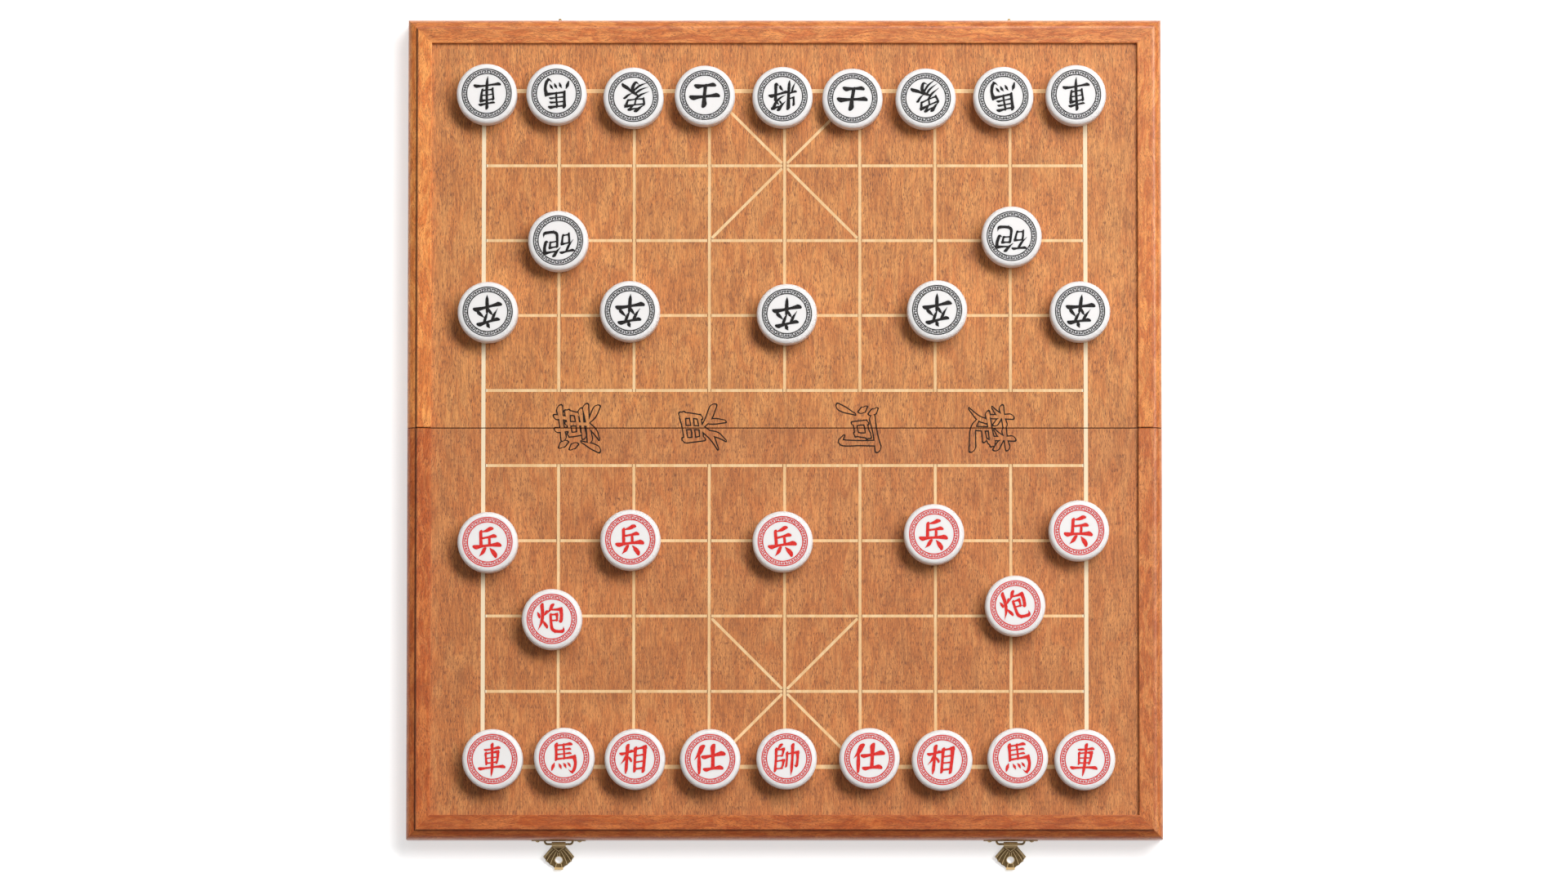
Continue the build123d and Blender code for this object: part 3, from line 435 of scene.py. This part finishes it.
# --- sizes of the CAD model that the frame doesn't give ---------------------------------------------
moulding_width = 4.6 * MM
flap_droop = radians(15.0)
flap_crown = 60.0 * MM

# Where the brass of a flap is worn, in millimetres over its sheet or out from its wire: where the
# bright metal begins and where it is full.
rib_heights = (0.33, 0.44)
lip_distances = (11.6, 12.1)
neck_distances = (1.9, 0.6)
neck_wear = 0.75

# --- materials ----------------------------------------------------------------------------------
class Nodes:
    """Builds a material's nodes; a socket, number or colour may go into any input."""

    def __init__(self, name):
        self.material = bpy.data.materials.new(name)
        self.material.use_nodes = True
        self.tree = self.material.node_tree
        self.shader = self.tree.nodes["Principled BSDF"]

    def node(self, kind, inputs=(), **settings):
        made = self.tree.nodes.new(kind)
        for key, value in settings.items():
            setattr(made, key, value)
        for key, value in dict(inputs).items():
            self.feed(made.inputs[key], value)
        return made

    def feed(self, socket, value):
        if isinstance(value, bpy.types.NodeSocket):
            self.tree.links.new(value, socket)
        elif isinstance(value, (tuple, list)) and len(value) == 3 and socket.type == "RGBA":
            socket.default_value = (*value, 1.0)
        else:
            socket.default_value = value

    def set(self, **inputs):
        for key, value in inputs.items():
            self.feed(self.shader.inputs[key.replace("_", " ")], value)

    def math(self, operation, a, b=0.0, c=0.0):
        return self.node("ShaderNodeMath", {0: a, 1: b, 2: c}, operation=operation).outputs[0]

    def vector(self, operation, a, b):
        made = self.node("ShaderNodeVectorMath", {0: a, 1: b}, operation=operation)
        return made.outputs["Value" if operation == "DOT_PRODUCT" else "Vector"]

    def place(self):
        """Where a point lies at rest, in millimetres."""
        place = self.node("ShaderNodeTexCoord").outputs["Object"]
        return self.vector("MULTIPLY", place, (1 / MM, 1 / MM, 1 / MM))

    def noise(self, vector, scale=1.0, detail=3.0, roughness=0.55, distortion=0.0):
        made = self.node(
            "ShaderNodeTexNoise",
            {
                "Vector": vector, "Scale": scale, "Detail": detail,
                "Roughness": roughness, "Distortion": distortion,
            },
        )
        return made.outputs["Fac"]

    def spread(self, value, low, high, to_low=0.0, to_high=1.0):
        made = self.node(
            "ShaderNodeMapRange",
            {"Value": value, "From Min": low, "From Max": high, "To Min": to_low, "To Max": to_high},
            interpolation_type="SMOOTHSTEP",
        )
        return made.outputs[0]

    def mix(self, factor, a, b):
        made = self.node("ShaderNodeMix", data_type="RGBA")
        self.feed(made.inputs[0], factor)
        self.feed(made.inputs[6], a)
        self.feed(made.inputs[7], b)
        return made.outputs[2]

    def bump(self, height, distance, strength=1.0):
        made = self.node("ShaderNodeBump", {"Height": height, "Distance": distance, "Strength": strength})
        return made.outputs[0]


def scaled(tone, by):
    """A colour made darker or lighter, by one number or by one for each channel."""
    shares = by if isinstance(by, tuple) else (by, by, by)
    return tuple(share * value for share, value in zip(shares, tone))


def make_wood(
    name, tones, along, seed, figure, streak,
    wander=5.0, shade=1.0, contrast=1.0, gloss=0.42, coat=0.10, crease=None, painted_shades=(0.0, 0.0), border=None,
):
    """Wood with its grain along X or Y: patches of two hues, fine streaks and dark open pores.

    Figure and streak give the width and length of a patch and of a streak, and wander how far the
    grain strays, all in millimetres. Crease and border are distances from the middle of the case,
    across the grain: at a crease shade is painted into the colour, and past a border the wood is paler.
    The painted shades say how dark it is in the crease and on the moulding past it.
    """
    red, gold, pore = (scaled(tone, shade) for tone in tones)
    wood = Nodes(name)
    at_rest = wood.place()
    place = wood.vector("ADD", at_rest, (seed, 2.3 * seed, 0.7 * seed))

    def stretched(width, length):
        sizes = (length, width, width) if along == "X" else (width, length, width)
        return wood.vector("DIVIDE", place, sizes)

    strays = wood.math("SUBTRACT", wood.noise(stretched(30.0, 60.0), detail=2.0), 0.5)
    sideways = {"Y" if along == "X" else "X": wood.math("MULTIPLY", strays, wander)}
    place = wood.vector("ADD", place, wood.node("ShaderNodeCombineXYZ", sideways).outputs[0])

    hues = wood.noise(stretched(*figure), detail=5.0, roughness=0.62, distortion=0.8)
    clouds = wood.noise(stretched(2.2 * figure[0], 1.2 * figure[1]), detail=3.0, roughness=0.55)
    lines = wood.noise(stretched(*streak), detail=4.0, roughness=0.72)
    fine = wood.noise(stretched(0.32 * streak[0], 0.24 * streak[1]), detail=3.0, roughness=0.65)
    crowding = wood.noise(stretched(5.0, 12.0), detail=4.0, roughness=0.65)
    pores = wood.math(
        "MULTIPLY", wood.spread(fine, 0.505, 0.61), wood.spread(crowding, 0.34, 0.58, 0.45, 1.0)
    )
    colour = wood.mix(wood.spread(hues, 0.40, 0.60), red, gold)
    cloudy = wood.spread(clouds, 0.56, 0.36, 0.0, cloud_share * contrast)
    colour = wood.mix(cloudy, colour, scaled(red, cloud_shade))
    colour = wood.mix(wood.spread(lines, 0.55, 0.36, 0.0, dark_streak_share * contrast), colour, pore)
    pale = wood.spread(lines, 0.50, 0.68, 0.0, pale_streak_share * contrast)
    colour = wood.mix(pale, colour, scaled(gold, pale_shade))
    colour = wood.mix(wood.math("MULTIPLY", pores, pore_share * contrast), colour, pore)
    parts = wood.node("ShaderNodeSeparateXYZ", {0: at_rest}).outputs
    off_middle = wood.math("ABSOLUTE", parts["Y" if along == "X" else "X"])
    if border:
        past_border = wood.spread(off_middle, border, border + 0.1, 0.0, border_share)
        colour = wood.mix(past_border, colour, border_tone)
    # Painted shade: the crease, and the moulding just past it, are darkened in the colour.
    if crease:
        past_crease = wood.math("SUBTRACT", off_middle, crease)
        begins = wood.spread(past_crease, -0.2, 0.4)
        fades = wood.spread(past_crease, 4.0, 0.6)
        shade_past_crease = wood.math("MULTIPLY", wood.math("MULTIPLY", begins, fades), painted_shades[1])
        colour = wood.mix(shade_past_crease, colour, scaled(pore, moulding_painted_shade_tone))
        shade_in_crease = wood.spread(wood.math("ABSOLUTE", past_crease), 0.9, 0.25, 0.0, painted_shades[0])
        colour = wood.mix(shade_in_crease, colour, scaled(pore, crease_painted_shade_tone))
    relief = wood.math("SUBTRACT", lines, wood.math("MULTIPLY", pores, 0.8))
    wood.set(Base_Color=colour, Normal=wood.bump(relief, grain_depth, 0.5))
    wood.set(Roughness=wood.spread(lines, 0.3, 0.7, gloss + 0.08, gloss - 0.04))
    wood.set(Specular_IOR_Level=wood_specular)
    wood.set(Coat_Weight=coat, Coat_Roughness=coat_roughness)
    return wood.material


panel_look = {"figure": (6.0, 22.0), "streak": (0.90, 10.0), "contrast": 1.15}
rail_look = {"figure": (3.2, 14.0), "streak": (0.85, 6.5), "wander": 14.0, "contrast": 1.0, "gloss": 0.34}
# Each panel's shade carries painted light: the far panel lighter, the near panel darker.
panel_woods = {
    half: make_wood(f"{half}_panel_wood", panel_tones, "Y", seed, shade=panel_board_and_painted_light[half], **panel_look)
    for half, seed in panel_seeds.items()
}
rail_woods = {}
# Each rail's shade carries painted light, and its crease and moulding carry painted shade.
for number, (rail, shade) in enumerate(rail_board_and_painted_light.items()):
    grain = "Y" if "left" in rail or "right" in rail else "X"
    outer = case_half.x if grain == "Y" else case_half.y
    rail_woods[rail] = make_wood(
        f"{rail}_wood", rail_tones, grain, rail_seed + rail_seed_step * number,
        shade=shade, crease=(outer - moulding_width) / MM,
        painted_shades=crease_painted_shades.get(rail, faint_crease_painted_shade), coat=rail_coats.get(rail, thin_coat), **rail_look,
    )
inlay_look = {"figure": (6.0, 40.0), "streak": (0.6, 9.0), "contrast": 0.35, "gloss": 0.5}
inlay_wood = make_wood("inlay_wood", inlay_tones, "Y", inlay_seed, border=border_from, **inlay_look)


def make_white():
    """The pieces' dense white plastic, very lightly clouded."""
    white = Nodes("piece_white")
    place = white.place()
    clouds = white.noise(place, scale=0.16, detail=3.0)
    grain = white.noise(place, scale=2.4, detail=2.0)
    white.set(Base_Color=white.mix(clouds, *white_tones), Specular_IOR_Level=white_specular)
    white.set(Roughness=white.spread(grain, 0.3, 0.7, *white_roughness))
    white.set(Normal=white.bump(grain, white_relief, 0.4))
    white.shader.subsurface_method = "BURLEY"
    white.set(Subsurface_Weight=1.0, Subsurface_Radius=white_scatter, Subsurface_Scale=1.0)
    return white.material


def make_paint(name, thin, thick):
    """Paint, thinner in places."""
    paint = Nodes(name)
    place = paint.place()
    pooled = paint.noise(place, scale=0.9, detail=3.0)
    brush = paint.noise(place, scale=5.0, detail=2.0)
    laid = paint.math("MULTIPLY_ADD", brush, 0.35, paint.math("MULTIPLY", pooled, 0.65))
    paint.set(Base_Color=paint.mix(paint.spread(laid, 0.38, 0.60), thin, thick))
    paint.set(Specular_IOR_Level=paint_specular)
    paint.set(Roughness=paint.spread(brush, 0.3, 0.7, *paint_roughness))
    paint.set(Normal=paint.bump(pooled, paint_relief, 0.5))
    return paint.material


def make_brass(name, ribs=False):
    """Antique brass: dark in the field, with worn bright metal on what stands proud."""
    brass = Nodes(name)
    place = brass.place()
    tarnish = brass.noise(place, scale=0.55, detail=4.0, roughness=0.65)
    fine = brass.noise(place, scale=3.0, detail=3.0)
    dull = brass.mix(brass.spread(tarnish, 0.35, 0.65), *tarnish_tones)
    if ribs:
        wear = flap_wear(brass, place)
    else:
        patches = brass.math("ADD", tarnish, brass.math("MULTIPLY", fine, 0.4))
        wear = brass.spread(patches, 0.55, 0.95, *patch_wear)
    brass.set(Base_Color=brass.mix(wear, dull, worn_brass))
    brass.set(Metallic=brass_metallic, Specular_IOR_Level=brass_specular)
    brass.set(Roughness=brass.spread(fine, 0.3, 0.7, *brass_roughness))
    brass.set(Normal=brass.bump(tarnish, brass_relief, 0.6))
    return brass.material


def flap_wear(brass, place):
    """How much a point of a flap has worn bright: its ribs and lip wholly, and its neck in part."""
    wire = flap_wire / MM
    face = (0.0, -sin(flap_droop), cos(flap_droop))
    out = (0.0, -cos(flap_droop), -sin(flap_droop))
    from_wire = brass.vector("SUBTRACT", place, (0.0, wire.y, wire.z))
    over_face = brass.vector("DOT_PRODUCT", from_wire, face)
    along = brass.vector("DOT_PRODUCT", from_wire, out)
    off_case = brass.math("ABSOLUTE", brass.node("ShaderNodeSeparateXYZ", {0: place}).outputs[0])
    across = brass.math("SUBTRACT", off_case, wire.x)
    crown = brass.math("DIVIDE", brass.math("MULTIPLY", across, across), 2 * flap_crown / MM)
    ribs = brass.spread(brass.math("ADD", over_face, crown), *rib_heights)
    lip = brass.spread(along, *lip_distances)
    neck = brass.spread(along, *neck_distances, 0.0, neck_wear)
    return brass.math("MAXIMUM", brass.math("MAXIMUM", ribs, lip), neck)


white = make_white()
red_paint = make_paint("red_paint", *red_tones)
black_paint = make_paint("black_paint", *black_tones)
burnt_line = make_paint("burnt_line", *burnt_tones)
brass = make_brass("antique_brass")
flap_brass = make_brass("flap_brass", ribs=True)

finishes = {
    **rail_woods,
    **{f"{half}_playing_panel": wood for half, wood in panel_woods.items()},
    **{f"{half}_grid_inlay": inlay_wood for half in panel_woods},
    **{f"{side}_hasp_flap": flap_brass for side in ("left", "right")},
}
for name, node in nodes.items():
    finish = white if name.startswith(("red_", "black_")) else finishes.get(name, brass)
    for slot in node.material_slots:
        slot.material = finish


# --- marks ------------------------------------------------------------------------------------------
def smooth_stroke(knots):
    """Points along a stroke, each with its half width, on a curve through the knots."""
    ends = [tuple(2 * a - b for a, b in zip(knots[0], knots[1]))]
    ends += list(knots) + [tuple(2 * a - b for a, b in zip(knots[-1], knots[-2]))]
    points = []
    for k in range(1, len(ends) - 2):
        before, start, end, after = ends[k - 1:k + 3]
        for step in range(stroke_spans + (k == len(ends) - 3)):
            t = step / stroke_spans
            points.append(tuple(
                0.5 * (
                    2 * s + (e - b) * t + (2 * b - 5 * s + 4 * e - a) * t**2
                    + (3 * s - b - 3 * e + a) * t**3
                )
                for b, s, e, a in zip(before, start, end, after)
            ))
    return points


def add_prism(bm, left, right, top, bottom):
    """A closed strip between two rows of points, from bottom to top."""
    rows = [
        [bm.verts.new((x, y, z)) for x, y in row]
        for z in (top, bottom) for row in (left, right)
    ]
    top_left, top_right, low_left, low_right = rows
    last = len(left) - 1
    for k in range(last):
        bm.faces.new((top_right[k], top_right[k + 1], top_left[k + 1], top_left[k]))
        bm.faces.new((low_left[k], low_left[k + 1], low_right[k + 1], low_right[k]))
        bm.faces.new((top_left[k], top_left[k + 1], low_left[k + 1], low_left[k]))
        bm.faces.new((low_right[k], low_right[k + 1], top_right[k + 1], top_right[k]))
    bm.faces.new((top_right[0], top_left[0], low_left[0], low_right[0]))
    bm.faces.new((top_left[last], top_right[last], low_right[last], low_left[last]))


def cap_station(middle, heading, width, sign, turn):
    """A point of a stroke's round end, with its heading and half width."""
    return middle + sign * heading * width * sin(turn), heading, width * cos(turn)


def add_stroke(bm, knots, right_by, up_by, brush, extra, top, bottom):
    """One brush stroke with round ends; extra widens it on every side."""
    line = smooth_stroke(knots)
    middle = [x * right_by + y * up_by for x, y, _ in line]
    swelling = [(max(w, thinnest) / brush_middle) ** brush_swell for _, _, w in line]
    width = [brush_middle * brush * swell + extra for swell in swelling]
    heading = []
    for k in range(len(middle)):
        ahead, behind = middle[min(k + 1, len(middle) - 1)], middle[max(k - 1, 0)]
        heading.append((ahead - behind).normalized())
    first, last = (middle[0], heading[0], width[0]), (middle[-1], heading[-1], width[-1])
    stations = [cap_station(*first, -1, turn) for turn in cap_turns]
    stations += list(zip(middle, heading, width))
    stations += [cap_station(*last, 1, turn) for turn in reversed(cap_turns)]
    left, right = [], []
    for k, (point, way, half) in enumerate(stations):
        from_end = min(k, len(stations) - 1 - k) - len(cap_turns)
        slant = brush_slant * min(1.0, max(0.0, 1.0 - from_end / slant_fades))
        side = (Vector((-way.y, way.x)) - way * slant) * half
        left.append(tuple(point + side))
        right.append(tuple(point - side))
    add_prism(bm, left, right, top, bottom)


def add_arc_block(bm, turn_from, turn_to, inner, outer, top, bottom):
    """A block of the ring, between two turns and two radii."""
    steps = max(1, round(abs(turn_to - turn_from) / arc_step))
    turns = [turn_from + (turn_to - turn_from) * k / steps for k in range(steps + 1)]
    left = [(inner * cos(a), inner * sin(a)) for a in turns]
    right = [(outer * cos(a), outer * sin(a)) for a in turns]
    add_prism(bm, left, right, top, bottom)


def add_band(bm, inner, outer, top, bottom):
    """A whole ring, closed on itself."""
    profile = ((inner, bottom), (outer, bottom), (outer, top), (inner, top))
    rows = []
    for k in range(ring_steps):
        a = 2 * pi * k / ring_steps
        rows.append([bm.verts.new((r * cos(a), r * sin(a), z)) for r, z in profile])
    for row, after in zip(rows, rows[1:] + rows[:1]):
        for k in range(4):
            bm.faces.new((row[k - 1], row[k], after[k], after[k - 1]))


def add_meander(bm, top, bottom):
    """The meander round a piece's face: hooks in mirrored pairs between two lines."""
    add_band(bm, ring_outer - ring_band, ring_outer, top, bottom)
    add_band(bm, ring_inner, ring_inner + ring_band, top, bottom)
    low, high = ring_inner + ring_band, ring_outer - ring_band
    half = key_line / 2
    hook_low, hook_high = (low + share * (high - low) for share in hook_levels)
    half_turn = half / ((low + high) / 2)
    riser, side, tip = (share * pi / key_repeats for share in hook_reaches)
    blocks = (
        (riser - half_turn, riser + half_turn, low, hook_high - half),
        (riser - half_turn, side + half_turn, hook_high - half, hook_high + half),
        (side - half_turn, side + half_turn, hook_low + half, hook_high - half),
        (tip, side + half_turn, hook_low - half, hook_low + half),
    )
    for repeat in range(key_repeats):
        centre = 2 * pi * repeat / key_repeats
        for turn_from, turn_to, inner, outer in blocks:
            add_arc_block(bm, centre + turn_from, centre + turn_to, inner, outer, top, bottom)
            add_arc_block(bm, centre - turn_to, centre - turn_from, inner, outer, top, bottom)


def mesh_from(bm, name, material):
    bmesh.ops.recalc_face_normals(bm, faces=bm.faces)
    mesh = bpy.data.meshes.new(name)
    bm.to_mesh(mesh)
    bm.free()
    mesh.materials.append(material)
    return mesh


def make_piece_mark(character, material, name):
    """The ring and the character of one kind of piece, over its face at z = 0."""
    bm = bmesh.new()
    add_meander(bm, mark_rise, -mark_depth)
    *places, brush = SETTING[character]
    right_by, up_by, shift = (MM * Vector(place) for place in places)
    first = len(bm.verts)
    for k, knots in enumerate(CHARACTERS[character]):
        top = mark_rise + k * stroke_step
        add_stroke(bm, knots, right_by, up_by, brush * MM, 0.0, top, -mark_depth)
    bmesh.ops.translate(bm, verts=list(bm.verts)[first:], vec=(*shift, 0.0))
    return mesh_from(bm, name, material)


mark_meshes = {}
for name, turn in TURNS.items():
    colour = name.split("_")[0]
    kind = next(k for k in KINDS if k in name)
    character = KINDS[kind][0 if colour == "red" else 1]
    key = (character, colour)
    if key not in mark_meshes:
        paint = red_paint if colour == "red" else black_paint
        mark_meshes[key] = make_piece_mark(character, paint, f"mark_{colour}_{kind}")
    low, high = low_high(name)
    mark = bpy.data.objects.new(f"{name}_mark", mark_meshes[key])
    mark.location = ((low.x + high.x) / 2, (low.y + high.y) / 2, high.z)
    mark.rotation_euler.z = radians(turn + (0 if colour == "red" else 180))
    bpy.context.collection.objects.link(mark)
    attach(mark, name)


def make_river_half(word, centre_x, quarter_turns, y_sign, extra, lowest, material, name):
    """The half of a river character that lies on one side of the fold."""
    bm = bmesh.new()
    river_right = Vector((river_unit, river_rise * river_unit))
    river_up = Vector((0.0, river_unit))
    for k, knots in enumerate(RIVER[word]):
        top = lowest + k * stroke_step
        add_stroke(bm, knots, river_right, river_up, river_brush * river_unit, extra, top, -mark_depth)
    turned = Matrix.Translation((centre_x, 0, panel_top)) @ Matrix.Rotation(quarter_turns * pi / 2, 4, "Z")
    bmesh.ops.transform(bm, matrix=turned, verts=bm.verts)
    cut = bmesh.ops.bisect_plane(
        bm, geom=bm.verts[:] + bm.edges[:] + bm.faces[:],
        plane_co=(0, y_sign * fold_half_gap, 0), plane_no=(0, y_sign, 0), clear_inner=True,
    )
    open_edges = [e for e in cut["geom_cut"] if isinstance(e, bmesh.types.BMEdge)]
    bmesh.ops.edgenet_fill(bm, edges=open_edges)
    return mesh_from(bm, name, material)


# Each river character's middle along X, and its quarter turns to the left.
river_places = (
    ("han", -103.1 * MM, 1), ("border", -40.3 * MM, 1), ("stream", 37.1 * MM, -1), ("chu", 102.7 * MM, -1),
)
for word, centre_x, quarter_turns in river_places:
    for half_name, y_sign in (("near", -1), ("far", 1)):
        layers = (
            ("line", river_line, mark_rise, burnt_line),
            ("fill", 0.0, mark_rise + river_strokes * stroke_step, panel_woods[half_name]),
        )
        for layer, extra, lowest, material in layers:
            name = f"{half_name}_river_{word}_{layer}"
            mesh = make_river_half(word, centre_x, quarter_turns, y_sign, extra, lowest, material, name)
            part = bpy.data.objects.new(name, mesh)
            bpy.context.collection.objects.link(part)
            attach(part, f"{half_name}_half")


# --- floor, sky, lamp and camera ----------------------------------------------------------------------
def make_floor():
    """A white sweep: matt to the light, and white to the camera where no shadow falls."""
    floor = Nodes("floor_white")
    floor.set(Base_Color=floor_tone, Roughness=floor_roughness)
    paths = floor.node("ShaderNodeLightPath")
    seen = floor.math("MAXIMUM", paths.outputs["Is Camera Ray"], paths.outputs["Is Glossy Ray"])
    brightness = floor.math("MULTIPLY", seen, floor_glow)
    glow = floor.node("ShaderNodeEmission", {"Color": plain_white, "Strength": brightness})
    both = floor.node("ShaderNodeAddShader", {0: floor.shader.outputs[0], 1: glow.outputs[0]})
    floor.feed(floor.tree.nodes["Material Output"].inputs[0], both.outputs[0])
    bm = bmesh.new()
    bmesh.ops.create_grid(bm, x_segments=4, y_segments=4, size=floor_reach)
    mesh = mesh_from(bm, "floor", floor.material)
    sheet = bpy.data.objects.new("floor", mesh)
    sheet.location.z = floor_z
    bpy.context.collection.objects.link(sheet)


make_floor()

scene = bpy.context.scene
scene.view_settings.view_transform = "Standard"
world = bpy.data.worlds.new("sky")
scene.world = world
world.use_nodes = True
sky = world.node_tree
background = sky.nodes["Background"]
background.inputs["Color"].default_value = (*plain_white, 1.0)
background.inputs["Strength"].default_value = sky_level

lamp_data = bpy.data.lights.new("key", "AREA")
lamp_data.shape = "RECTANGLE"
lamp_data.size = key_length
lamp_data.size_y = key_width
lamp_data.energy = key_power
lamp = bpy.data.objects.new("key", lamp_data)
lamp.location = key_towards.normalized() * key_distance
lamp.rotation_euler = key_towards.to_track_quat("Z", "Y").to_euler()
bpy.context.collection.objects.link(lamp)

camera_data = bpy.data.cameras.new("camera")
camera_data.sensor_width = sensor_width
camera_data.lens = sensor_width * camera_distance / view_width
camera_data.clip_end = view_reach
camera = bpy.data.objects.new("camera", camera_data)
away = Vector((0.0, -sin(camera_tilt), cos(camera_tilt)))
camera.location = camera_target + away * camera_distance
camera.rotation_euler = (camera_tilt, 0.0, 0.0)
bpy.context.collection.objects.link(camera)
scene.camera = camera
